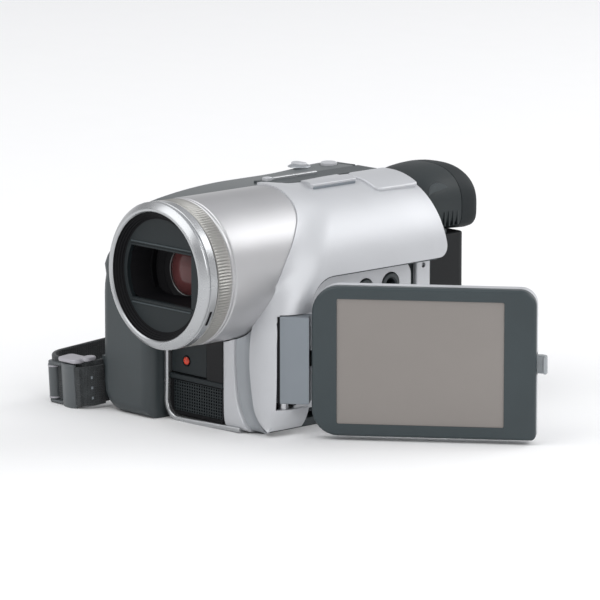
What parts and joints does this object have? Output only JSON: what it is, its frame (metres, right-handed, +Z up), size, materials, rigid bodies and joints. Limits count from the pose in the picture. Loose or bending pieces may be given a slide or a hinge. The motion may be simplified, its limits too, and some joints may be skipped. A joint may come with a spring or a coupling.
{
  "type": "camcorder",
  "caption": "Compact tape camcorder: large ringed lens at the front, fold-out screen on the left, extending finder, hand strap on the hinged tape door, battery behind.",
  "frame": {"origin": "mouth of the tripod socket in the flat base", "axes": "+Z up, lens looks along -Y, the screen is on the +X side and the hand strap on the -X side"},
  "size_m": [0.1504, 0.119, 0.0718],
  "materials": {
    "silver_shell": "satin silver paint on moulded plastic",
    "chrome_barrel": "polished bright",
    "slate_shell": "fine textured dark slate",
    "black_plastic": "gloss black",
    "light_panel": "light grey",
    "lens_glass": "coated",
    "clear_glass": "clear",
    "screen_glass": "dull warm grey, switched off",
    "lamp_red": "clear red",
    "steel": "bright",
    "brass": "machined",
    "board_green": "solder mask",
    "rubber_black": "soft matte",
    "pad_fabric": "padded",
    "strap_webbing": "woven nylon",
    "battery_black": "fine texture"
  },
  "bodies": {
    "camera_body": {"left_wing": "silver_shell", "front_column": "silver_shell", "sensor_panel": "black_plastic", "record_lamp": "lamp_red", "mic_grille": "black_plastic", "grip_shell": "slate_shell", "grip_trim": "chrome_barrel", "top_cover": "slate_shell", "speaker_cover": "silver_shell", "top_step": "silver_shell", "bottom_plate": "slate_shell", "tripod_nut": "brass", "rear_cover": "slate_shell", "side_panel": "light_panel", "jacks": "black_plastic", "rear_strip": "silver_shell", "case_screws": "steel", "lens_barrel": "chrome_barrel", "lens_bezel": "black_plastic", "lens_mask": "black_plastic", "front_lens": "lens_glass", "lens_tube": "black_plastic", "guide_rods": "steel", "iris_unit": "black_plastic", "prism_block": "clear_glass", "image_sensors": "board_green", "deck_chassis": "steel", "main_board": "board_green", "hinge_bracket": "steel", "hinge_pins": "steel"},
    "focus_ring": {"focus_ring": "chrome_barrel"},
    "zoom_group": {"zoom_carriage": "black_plastic", "zoom_lens": "lens_glass"},
    "finder_slider": {"finder_slider": "slate_shell"},
    "finder": {"finder_housing": "slate_shell", "eyecup": "rubber_black", "eyepiece_lens": "lens_glass"},
    "dioptre_lever": {"dioptre_lever": "black_plastic"},
    "zoom_lever": {"zoom_lever": "silver_shell"},
    "photo_button": {"photo_button": "silver_shell"},
    "rec_button": {"rec_button": "lamp_red"},
    "mode_dial": {"mode_dial": "black_plastic"},
    "cassette_door": {"cassette_door": "slate_shell", "hand_pad": "pad_fabric", "strap_band": "strap_webbing", "strap_buckle": "light_panel", "strap_lugs": "slate_shell"},
    "cassette_carrier": {"cassette_carrier": "steel", "cassette": "black_plastic"},
    "battery": {"battery": "battery_black"},
    "battery_release": {"battery_release": "black_plastic"},
    "eject_lever": {"eject_lever": "black_plastic"},
    "lcd_arm": {"hinge_arm": "light_panel"},
    "lcd_panel": {"lcd_bezel": "slate_shell", "lcd_back": "silver_shell", "lcd_screen": "screen_glass"},
    "lcd_latch": {"lcd_latch": "light_panel"},
    "head_drum": {"head_drum": "steel"},
    "terminal_cover": {"terminal_cover": "light_panel"},
    "memory_card": {"memory_card": "black_plastic"}
  },
  "joints": [
    {"name": "lcd_swing", "type": "hinge", "parent": "camera_body", "child": "lcd_arm", "pos_m": [0.0315, -0.029, 0.0239], "axis": [0, 0, 1], "range_deg": [-40, 50]},
    {"name": "lcd_tilt", "type": "hinge", "parent": "lcd_arm", "child": "lcd_panel", "pos_m": [0.0315, -0.029, 0.0239], "axis": [0.766, 0.6428, 0], "range_deg": [-270, 0]},
    {"name": "latch_push", "type": "slide", "parent": "lcd_panel", "child": "lcd_latch", "axis": [-0.766, -0.6428, 0], "range_m": [0, 0.0012], "stiffness_N_per_m": 200},
    {"name": "focus_turn", "type": "hinge", "parent": "camera_body", "child": "focus_ring", "pos_m": [0.009, -0.051, 0.049], "axis": [0, 1, 0], "continuous": true},
    {"name": "zoom_travel", "type": "slide", "parent": "camera_body", "child": "zoom_group", "axis": [0, 1, 0], "range_m": [0, 0.012]},
    {"name": "finder_pull", "type": "slide", "parent": "camera_body", "child": "finder_slider", "axis": [0, 1, 0], "range_m": [0, 0.014]},
    {"name": "finder_tilt", "type": "hinge", "parent": "finder_slider", "child": "finder", "pos_m": [0.0075, 0.0445, 0.0615], "axis": [1, 0, 0], "range_deg": [0, 75]},
    {"name": "dioptre_slide", "type": "slide", "parent": "finder", "child": "dioptre_lever", "axis": [1, 0, 0], "range_m": [-0.0026, 0.0026]},
    {"name": "zoom_rock", "type": "hinge", "parent": "camera_body", "child": "zoom_lever", "pos_m": [-0.019, 0.024, 0.07], "axis": [0, 0, 1], "range_deg": [-20, 20], "stiffness_Nm_per_rad": 0.02},
    {"name": "photo_press", "type": "slide", "parent": "camera_body", "child": "photo_button", "axis": [0, 0, -1], "range_m": [0, 0.0008], "stiffness_N_per_m": 200},
    {"name": "record_press", "type": "slide", "parent": "camera_body", "child": "rec_button", "axis": [0, -1, 0], "range_m": [0, 0.001], "stiffness_N_per_m": 200},
    {"name": "mode_turn", "type": "hinge", "parent": "camera_body", "child": "mode_dial", "pos_m": [-0.024, 0.04, 0.036], "axis": [0, 1, 0], "range_deg": [-60, 90]},
    {"name": "door_open", "type": "hinge", "parent": "camera_body", "child": "cassette_door", "pos_m": [-0.0338, 0, 0.0066], "axis": [0, -1, 0], "range_deg": [0, 35]},
    {"name": "carrier_rise", "type": "hinge", "parent": "camera_body", "child": "cassette_carrier", "pos_m": [-0.0338, 0, 0.0066], "axis": [0, -1, 0], "range_deg": [0, 17.5]},
    {"name": "battery_pull", "type": "slide", "parent": "camera_body", "child": "battery", "axis": [0, 1, 0], "range_m": [0, 0.012]},
    {"name": "battery_unlatch", "type": "slide", "parent": "camera_body", "child": "battery_release", "axis": [1, 0, 0], "range_m": [0, 0.0026], "stiffness_N_per_m": 200},
    {"name": "eject_slide", "type": "slide", "parent": "camera_body", "child": "eject_lever", "axis": [0, 1, 0], "range_m": [0, 0.005], "stiffness_N_per_m": 200},
    {"name": "drum_spin", "type": "hinge", "parent": "camera_body", "child": "head_drum", "pos_m": [-0.0135, 0, 0.02], "axis": [1, 0, 0], "continuous": true},
    {"name": "terminal_open", "type": "hinge", "parent": "camera_body", "child": "terminal_cover", "pos_m": [0.02515, -0.00505, 0.023], "axis": [0, 0, 1], "range_deg": [-100, 0]},
    {"name": "card_eject", "type": "slide", "parent": "camera_body", "child": "memory_card", "axis": [-1, 0, 0], "range_m": [-0.012, 0]}
  ],
  "couplings": [
    {"joint": "carrier_rise", "follows": "door_open", "ratio": 0.5}
  ]
}
